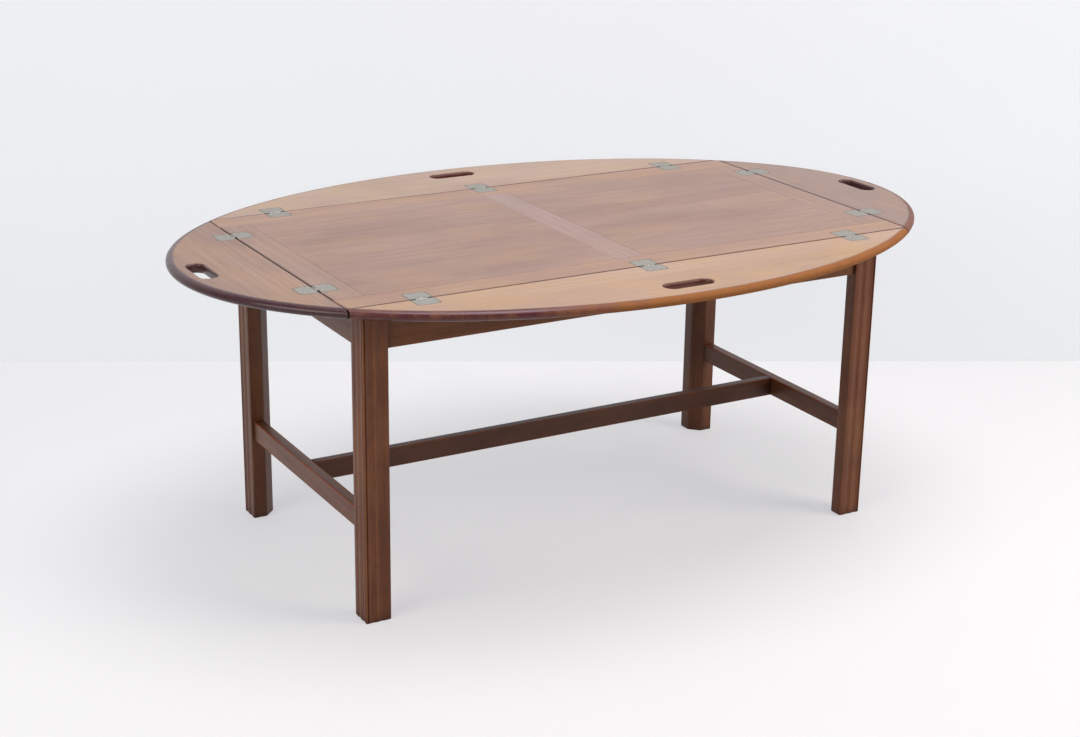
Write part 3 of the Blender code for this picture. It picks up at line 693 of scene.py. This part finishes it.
def leaf_outline(semi_x, semi_y, half, edge, inset):
    """One level of a leaf's outline: the moved oval between its ends on the tip cut or the seam edge, then
    down the tip, along the seam edge and up the other tip."""
    t = np.linspace(0, math.pi / 2, OVAL_SAMPLES)
    quarter = moved_oval(semi_x, semi_y, inset, t)
    end = max(np.interp(-half, -quarter[:, 0], t), np.interp(edge, quarter[:, 1], t))
    arc = moved_oval(semi_x, semi_y, inset, np.linspace(end, math.pi - end, ARC_POINTS))
    seam = np.linspace((arc[-1][0], edge), (arc[0][0], edge), SEAM_POINTS)
    down = np.linspace(arc[-1], seam[0], 5)[1:-1]
    up = np.linspace(seam[-1], arc[0], 5)[1:-1]
    return np.concatenate([arc, down, seam, up])


def handhold_rim(centre, directions, widening):
    """Where rays from the middle of a slot with round ends meet its wall, for a slot wider all round."""
    radius = HANDHOLD_RADIUS + widening
    c, s = np.abs(directions[:, 0]), np.abs(directions[:, 1])
    straight = radius / np.maximum(s, 1e-9)
    rounded = HANDHOLD_STRAIGHT * c + np.sqrt(np.maximum(radius ** 2 - (HANDHOLD_STRAIGHT * s) ** 2, 0))
    distance = np.where(straight * c <= HANDHOLD_STRAIGHT, straight, rounded)
    return np.array([0.0, centre]) + directions * distance[:, None]


def leaf(node_name, body, quarter_turns, shape, wear, material):
    """A ring-shaped grid: rows go round the leaf, and columns go round its section, from the handhold's
    wall over the top to where the stain begins, round the nose and back underneath. Wear is the share of
    the nose rubbed at the low and the high end of the seam, where it changes, and the share in the
    handhold."""
    semi_x, semi_y, seam, half, handhold_inset, hinges = shape
    low_wear, high_wear, change_x, hold_wear = wear
    centre = semi_y - handhold_inset
    nose_angle = np.linspace(math.pi / 2, -math.pi / 2, NOSE_POINTS)
    levels = np.append(BOARD / 2, BOARD / 2 * np.sin(nose_angle))
    insets = np.append(NOSE + STAIN_BLEED, NOSE * (1 - np.cos(nose_angle)))
    chamfers = np.clip(SEAM_CHAMFER - (BOARD / 2 - levels), 0, None)
    chamfers[0] = 2 * SEAM_CHAMFER
    edges = seam + SEAM_EDGE + chamfers
    outer = [leaf_outline(semi_x, semi_y, half, edge, inset) for edge, inset in zip(edges, insets)]
    outer = np.stack(outer, axis=1)
    spokes = outer[:, 0] - np.array([0.0, centre])
    spokes /= np.linalg.norm(spokes, axis=1, keepdims=True)
    rim_angle = np.linspace(math.pi / 2, 0, RIM_POINTS)
    widenings = HANDHOLD_ROUNDING * (1 - np.sin(rim_angle))
    rim_levels = BOARD / 2 - HANDHOLD_ROUNDING * (1 - np.cos(rim_angle))
    rim = np.stack([handhold_rim(centre, spokes, widening) for widening in widenings], axis=1)
    share = FACE_SHARES[None, :, None]
    face = rim[:, -1:] * (1 - share) + outer[:, :1] * share
    flat = np.concatenate([rim, face, outer, face[:, ::-1], rim[:, ::-1]], axis=1)
    half_thick = np.full(len(FACE_SHARES), BOARD / 2)
    height = np.concatenate([rim_levels, half_thick, levels, -half_thick, -rim_levels[::-1]])
    grid = raised(turned_about(flat, quarter_turns), top - BOARD / 2 + height)

    on_seam = (np.arange(len(outer)) >= ARC_POINTS)[:, None]
    along_nose = np.clip(0.5 + (outer[:, :1, 0] - change_x) / WEAR_CHANGE, 0, 1)
    rubbed = low_wear + (high_wear - low_wear) * along_nose
    round_nose = (math.pi / 2 - nose_angle) / NOSE_STAINED_BY
    nose_stain = np.clip(STAIN_ON_TOP * (1 - rubbed) + round_nose, 0, 1)
    nose_stain = np.hstack([np.zeros_like(rubbed), nose_stain])
    nose_edge = nose_stain * rubbed
    seam_stain = SEAM_STAIN * (np.arange(len(levels)) > 0)
    # Painted shade on the faces down in the seam gap.
    seam_recess = np.where(BOARD / 2 - levels > SEAM_PAINTED_SHADE_FROM, SEAM_PAINTED_SHADE, 0)
    rim_stain = HANDHOLD_STAIN * np.tile(np.clip(rim_angle / RIM_STAINED_BY, 0, 1), (len(outer), 1))
    rim_edge = hold_wear * rim_stain
    no_rim = np.zeros(rim.shape[:2])
    no_face = np.zeros(face.shape[:2])
    stain = [rim_stain, no_face, np.where(on_seam, seam_stain, nose_stain)]
    stain += [no_face + UNDERSIDE_STAIN, rim_stain[:, ::-1]]
    edge = [rim_edge, no_face, np.where(on_seam, 0, nose_edge), no_face, rim_edge[:, ::-1]]
    recess = [no_rim, no_face, np.where(on_seam, seam_recess, 0), no_face, no_rim]
    masks = {"stain": np.hstack(stain), "edge": np.hstack(edge), "recess": np.hstack(recess)}
    made = skin(node_name + "_board", grid, masks, ring_rows=True)
    for position in hinges:
        let_in(made, (position + 1j * seam) * 1j ** quarter_turns, quarter_turns)
    dressed(made, material, body, "leaf_mahogany", node_name)


# Paler boards under clear lacquer: tan on the long leaves, browner on the ends, purple red where stained.
long_stain = ("#561A1A", "#A06636")
end_stain = ("#40161E", "#96644C")
leaf_finish = (0.34, 0.45)
leaf_figure = (0.012, 2.0, 0.22, 0.25)
front_colours = ("#AA8362", "#C29D80", "#C29760", "#8E6848", *long_stain)
back_colours = ("#A6876C", "#BFA38D", "#C09C74", "#8C6C52", *long_stain)
left_colours = ("#805E4C", "#A6816B", "#AC8460", "#684634", *end_stain)
right_colours = ("#826355", "#A08071", "#9E7C60", "#6A4C3E", *end_stain)
front_wood = mahogany("leaf_mahogany_front", "X", front_colours, leaf_finish, leaf_figure)
back_wood = mahogany("leaf_mahogany_back", "X", back_colours, leaf_finish, leaf_figure)
left_wood = mahogany("leaf_mahogany_left", "Y", left_colours, leaf_finish, leaf_figure)
right_wood = mahogany("leaf_mahogany_right", "Y", right_colours, leaf_finish, leaf_figure)
long_shape = (oval_x, oval_y, seam_y, seam_x - TIP_CUT, HANDHOLD_INSET_LONG, long_hinges)
end_shape = (oval_y, oval_x, seam_x, oval_y, HANDHOLD_INSET_END, end_hinges)
leaf("leaf_back", "back_leaf", 0, long_shape, (0.4, 0.4, 0.0, 0.05), back_wood)
leaf("leaf_left", "left_leaf", 1, end_shape, (0.0, 0.0, 0.0, 0.0), left_wood)
leaf("leaf_front", "front_leaf", 2, long_shape, (0.88, 0.15, 0.165, 0.05), front_wood)
leaf("leaf_right", "right_leaf", 3, end_shape, (0.45, 0.45, 0.0, 0.0), right_wood)

# Hinges: ten flush hinges of nickelled brass gone dull and greenish grey, two plates on a steel pin each,
# held by countersunk slotted screws whose heads sit level with the plates.
BARREL = cad_box[1][2] - top + PIN_DEPTH
BARREL_SIDES = 24
KNUCKLE_CLEAR = 0.0023
SIDE_CLEAR = 0.0016
CENTRE_KNUCKLE = 0.0068
KNUCKLE_GAP = 0.0004
KNUCKLE_EASE = 0.0002
# Share of painted shade at both ends of each knuckle.
KNUCKLE_PAINTED_SHADE = 0.8
PLATE_THICKNESS = 0.0018
PLATE_CORNER = 0.0003
PLATE_EASE = 0.0003
# Rings of a plate from the underside to the flat: size, depth below the top and share of darkening towards
# the outline.
PLATE_RINGS = np.array([(1.0, PLATE_THICKNESS, 0.9), (1.0, PLATE_EASE, 0.9), (0.985, 0, 0.8), (0.93, 0, 0)])
METAL_CLOUDS = 0.006
METAL_GLOSS = 0.1
METAL_DARKENING = "#2A241C"
SCREW_RADIUS = 0.0026
SCREW_CROWN = 0.00025
SCREW_THICKNESS = 4 * SCREW_CROWN
SCREW_SLOT = 0.0007
SCREW_SLOT_DEPTH = 2 * SCREW_CROWN
# Share of painted shade down in a screw's slot.
SCREW_SLOT_PAINTED_SHADE = 0.85
SCREW_PLACES = ((-0.0115, 0.0225), (0.0115, 0.0225), (0.0, 0.0110))
# Each slot stands at its own angle, turned on from screw to screw and from tray plate to leaf plate.
SLOT_STEP = 2.4
SLOT_LEAD = 1.1


def dull_metal(name, dark, light, roughness):
    """Dull plated metal: cloudy noise, rougher where it is darker, and darkened by the recess attribute."""
    made, tree = blank_material(name)
    place = node(tree, "ShaderNodeTexCoord").outputs["Object"]
    texture = {"Vector": place, "Scale": 1 / METAL_CLOUDS, "Detail": 5.0, "Roughness": 0.65}
    cloud = node(tree, "ShaderNodeTexNoise", texture).outputs["Fac"]
    # The recess attribute gives painted shade at knuckle ends and in screw slots, and darker plate outlines.
    recess = node(tree, "ShaderNodeAttribute", attribute_name="recess").outputs["Fac"]
    colour = linear(dark)
    for share, over in ((cloud, light), (recess, METAL_DARKENING)):
        sockets = {0: share, 6: colour, 7: linear(over)}
        colour = node(tree, "ShaderNodeMix", sockets, data_type="RGBA").outputs[2]
    rough = {"Value": cloud, "From Min": 0.3, "From Max": 0.7}
    rough |= {"To Min": roughness + METAL_GLOSS, "To Max": roughness - METAL_GLOSS}
    gloss = node(tree, "ShaderNodeMapRange", rough).outputs[0]
    surface = {"Base Color": colour, "Metallic": 1.0, "Roughness": gloss}
    shader = node(tree, "ShaderNodeBsdfPrincipled", surface)
    node(tree, "ShaderNodeOutputMaterial", {"Surface": shader.outputs[0]})
    return made


def joined(name, parts):
    """One object that holds the shapes of several."""
    shape = bmesh.new()
    for part in parts:
        shape.from_mesh(part.data)
        bpy.data.objects.remove(part)
    mesh = bpy.data.meshes.new(name)
    shape.to_mesh(mesh)
    shape.free()
    return linked(name, mesh)


def placed(points, spot, quarter_turns):
    """Points round a hinge's middle, x along its axis and y over its plate, turned and set at its spot."""
    return raised(spot + turned_about(points, quarter_turns), top - PIN_DEPTH + points[..., 2])


def hinge_plate(name, spot, quarter_turns, knuckles, near):
    """A plate with an eased and darker outline, round at its far corners and with a tab at each knuckle, and
    a round barrel on each tab. near is the right half of its edge at the axis; the left half mirrors it."""
    half = HINGE_WIDTH / 2
    outline = [(half, HINGE_REACH), (-half, HINGE_REACH), (-half, SIDE_CLEAR)]
    outline += [(-x, y) for x, y in near[::-1]] + near + [(half, SIDE_CLEAR)]
    radii = [PLATE_ROUND] * 2 + [PLATE_CORNER] * (len(outline) - 2)
    corners = zip(outline[-1:] + outline[:-1], outline, outline[1:] + outline[:1], radii)
    loop = np.concatenate([softened(*corner) for corner in corners])
    middle = np.array([0.0, HINGE_REACH / 2])
    shrink, depth, darkening = PLATE_RINGS.T
    rings = middle + (loop - middle) * shrink[:, None, None]
    levels = np.broadcast_to((PIN_DEPTH - depth)[:, None], rings.shape[:2])
    points = np.concatenate([rings, levels[..., None]], axis=-1)
    parts = [skin(name, placed(points, spot, quarter_turns), {"recess": darkening[:, None]})]
    turn = np.linspace(0, 2 * math.pi, BARREL_SIDES, endpoint=False)
    # Painted shade at both ends of each knuckle.
    at_end = np.array([1.0, 0.0, 0.0, 1.0])[:, None]
    ring = (BARREL - KNUCKLE_EASE * at_end) * np.exp(1j * turn)
    for start, end in knuckles:
        stations = np.array([start, start + KNUCKLE_EASE, end - KNUCKLE_EASE, end])
        points = np.stack([np.broadcast_to(stations[:, None], ring.shape), ring.real, ring.imag], axis=-1)
        parts.append(skin(name, placed(points, spot, quarter_turns), {"recess": KNUCKLE_PAINTED_SHADE * at_end}))
    return joined(name, parts)


def screw_head(spot, quarter_turns, place, slot_turn):
    """A low crowned disc with a slot: strips across the disc, over the top and back underneath, with the
    strips in the slot let down."""
    slot = SCREW_SLOT / 2 / SCREW_RADIUS
    side = np.array([1.0, 0.97, 0.85, 0.6, 0.35, slot])
    u = np.concatenate([-side, [-slot, slot], side[::-1]])
    deep = np.zeros(len(u))
    deep[len(side):len(side) + 2] = SCREW_SLOT_DEPTH
    v = np.linspace(-1, 1, 13)
    span = np.sqrt(np.clip(1 - u ** 2, 1e-6, None))
    across = span[:, None] * np.concatenate([v, v[::-1]])
    from_middle = u[:, None] ** 2 + across[:, :len(v)] ** 2
    crown = SCREW_CROWN * (1 - from_middle) - deep[:, None]
    under = np.full_like(crown, -SCREW_THICKNESS)
    lying = (u[:, None] + 1j * across) * SCREW_RADIUS * np.exp(1j * slot_turn) + complex(*place)
    points = raised(lying, PIN_DEPTH + np.concatenate([crown, under], axis=1))
    # Painted shade down in the slot.
    darkening = np.where(deep > 0, SCREW_SLOT_PAINTED_SHADE, 0.0)[:, None]
    return skin("screw", placed(points, spot, quarter_turns), {"recess": darkening})


# Plating gone dull gives a broad soft shine with a green cast. The steel pins are darker.
plate_metal = dull_metal("dull_nickelled_brass", "#8E8B81", "#B6B2A8", 0.50)
screw_metal = dull_metal("worn_nickel_screws", "#8E8A80", "#BAB6AC", 0.42)
pin_metal = dull_metal("drawn_steel", "#6E6E6C", "#9A9A96", 0.40)
centre_end = CENTRE_KNUCKLE / 2
outer_start = centre_end + KNUCKLE_GAP
outer_end = HINGE_WAIST / 2
notch_end = outer_end + KNUCKLE_GAP
tray_knuckles = [(-centre_end, centre_end)]
leaf_knuckles = [(-outer_end, -outer_start), (outer_start, outer_end)]
tray_near = [(centre_end, 0.0), (centre_end, KNUCKLE_CLEAR)]
tray_near += [(notch_end, KNUCKLE_CLEAR), (notch_end, SIDE_CLEAR)]
leaf_near = [(outer_start, KNUCKLE_CLEAR), (outer_start, 0.0), (outer_end, 0.0), (outer_end, SIDE_CLEAR)]
sides = (
    ("back", 0, seam_y, long_hinges),
    ("left", 1, seam_x, end_hinges),
    ("front", 2, seam_y, long_hinges),
    ("right", 3, seam_x, end_hinges),
)
tray_screws = []
for side, turns, seam, hinges in sides:
    leaf_screws = []
    for number, position in enumerate(hinges, 1):
        spot = (position + 1j * seam) * 1j ** turns
        name = f"{side}_{number}"
        tray_plate = hinge_plate("tray_plate_" + name, spot, turns + 2, tray_knuckles, tray_near)
        dressed(tray_plate, plate_metal, "tray", "nickelled_brass", "hinge_tray_plate_" + name)
        leaf_plate = hinge_plate("leaf_plate_" + name, spot, turns, leaf_knuckles, leaf_near)
        dressed(leaf_plate, plate_metal, side + "_leaf", "nickelled_brass", "hinge_leaf_plate_" + name)
        finished("hinge_pin_" + name, pin_metal)
        for place in SCREW_PLACES:
            slot_turn = SLOT_STEP * (len(tray_screws) + 1)
            tray_screws.append(screw_head(spot, turns + 2, place, slot_turn))
            leaf_screws.append(screw_head(spot, turns, place, slot_turn + SLOT_LEAD))
    dressed(joined(f"screws_{side}_leaf", leaf_screws), screw_metal, side + "_leaf", "nickelled_brass")
dressed(joined("screws_tray", tray_screws), screw_metal, "tray", "nickelled_brass")

# Stage: a pale painted floor and a pale wall close behind the table, lit by a broad ceiling lamp and a soft
# window on each side, the right one stronger.
WALL_HEADING = math.radians(26.95)
WALL_DISTANCE = 0.731
WALL_HEIGHT = 4.0
STAGE = 6.0
MOTTLE_SIZE = 0.3
MOTTLE_SHADE = 0.97
ROOM_LIGHT = 0.15
ROOM_SEEN = 0.60


def in_sight(tree):
    """1 for rays from the eye, off a shiny surface or through glass, 0 for those that carry light."""
    path = node(tree, "ShaderNodeLightPath")
    seen = path.outputs["Is Camera Ray"]
    for ray in ("Is Glossy Ray", "Is Transmission Ray"):
        seen = node(tree, "ShaderNodeMath", {0: seen, 1: path.outputs[ray]}, operation="ADD").outputs[0]
    return seen


def pale_paint(name, colour, glow):
    """Matt paint with a faint mottle. To the eye and in reflections it shows lighter by the glow, so that
    it and its shadows are pale without throwing more light on the table. Its back is clear, so that the
    table can be seen from behind the wall and from under the floor."""
    made, tree = blank_material(name)
    place = node(tree, "ShaderNodeTexCoord").outputs["Object"]
    texture = {"Vector": place, "Scale": 1 / MOTTLE_SIZE, "Detail": 4.0}
    mottle = node(tree, "ShaderNodeTexNoise", texture).outputs["Fac"]
    pale = linear(colour)
    shaded = (*(MOTTLE_SHADE * channel for channel in pale[:3]), 1.0)
    tint = node(tree, "ShaderNodeMix", {0: mottle, 6: shaded, 7: pale}, data_type="RGBA").outputs[2]
    paint = node(tree, "ShaderNodeBsdfPrincipled", {"Base Color": tint, "Roughness": 0.7})
    lighter = node(tree, "ShaderNodeEmission", {"Color": linear(glow), "Strength": in_sight(tree)})
    both = node(tree, "ShaderNodeAddShader", {0: paint.outputs[0], 1: lighter.outputs[0]})
    back = node(tree, "ShaderNodeNewGeometry").outputs["Backfacing"]
    clear = node(tree, "ShaderNodeBsdfTransparent")
    sided = node(tree, "ShaderNodeMixShader", {0: back, 1: both.outputs[0], 2: clear.outputs[0]})
    node(tree, "ShaderNodeOutputMaterial", {"Surface": sided.outputs[0]})
    return made


def sheet(name, corners, material):
    """One flat rectangle of the stage."""
    mesh = bpy.data.meshes.new(name)
    mesh.from_pydata([tuple(corner) for corner in corners], [], [(0, 1, 2, 3)])
    mesh.materials.append(material)
    linked(name, mesh)


ahead = Vector((math.sin(WALL_HEADING), math.cos(WALL_HEADING), 0.0))
aside = Vector((ahead.y, -ahead.x, 0.0)) * STAGE
foot = ahead * WALL_DISTANCE
near = ahead * -STAGE
far = ahead * STAGE
rise = Vector((0.0, 0.0, WALL_HEIGHT))
floor_paint = pale_paint("floor_paint", "#B8B6AE", "#B6B7BD")
wall_paint = pale_paint("wall_paint", "#A6A8AA", "#C6C8CB")
sheet("floor", (near - aside, near + aside, far + aside, far - aside), floor_paint)
sheet("wall", (foot - aside, foot + aside, foot + aside + rise, foot - aside + rise), wall_paint)

world = bpy.data.worlds.new("room")
bpy.context.scene.world = world
world.use_nodes = True
world.node_tree.nodes.clear()
shown = {"Value": in_sight(world.node_tree), "To Min": ROOM_LIGHT, "To Max": ROOM_SEEN}
strength = node(world.node_tree, "ShaderNodeMapRange", shown).outputs[0]
room = node(world.node_tree, "ShaderNodeBackground", {"Color": linear("#F0F2FF"), "Strength": strength})
node(world.node_tree, "ShaderNodeOutputWorld", {"Surface": room.outputs[0]})


def lamp(name, position, aim, size, power, colour):
    """A square area lamp turned towards a point."""
    made = linked(name, bpy.data.lights.new(name, "AREA"))
    made.data.size = size
    made.data.energy = power
    made.data.color = linear(colour)[:3]
    made.location = position
    made.rotation_euler = (Vector(position) - Vector(aim)).to_track_quat("Z", "Y").to_euler()


lamp("ceiling", (0.2, -0.2, 3.0), (0.1, 0.0, 0.4), 1.8, 54.0, "#F6F3FF")
lamp("right_window", (2.6, -2.4, 1.9), (0.0, 0.0, 0.3), 2.0, 66.0, "#FFF8F0")
lamp("left_window", (-3.0, -0.9, 1.8), (0.0, 0.0, 0.3), 2.0, 39.0, "#FFFCF6")

# Camera: set where the photograph was taken from, nearly 2.9 m along the floor from the middle of the table
# and 1.22 m up, looking down at it with a slight tilt.
CAMERA_PLACE = (-1.439, -2.461, 1.2197)
CAMERA_DOWN = math.radians(19.01)
CAMERA_HEADING = math.radians(29.82)
CAMERA_TILT = math.radians(0.871)
camera = linked("camera", bpy.data.cameras.new("camera"))
camera.data.sensor_width = 36.0
camera.data.lens = 65.19
facing = Euler((math.pi / 2 - CAMERA_DOWN, 0.0, -CAMERA_HEADING)).to_matrix()
tilted = facing @ Matrix.Rotation(CAMERA_TILT, 3, "Z")
camera.matrix_world = Matrix.Translation(CAMERA_PLACE) @ tilted.to_4x4()
bpy.context.scene.camera = camera
bpy.context.scene.view_settings.view_transform = "Standard"
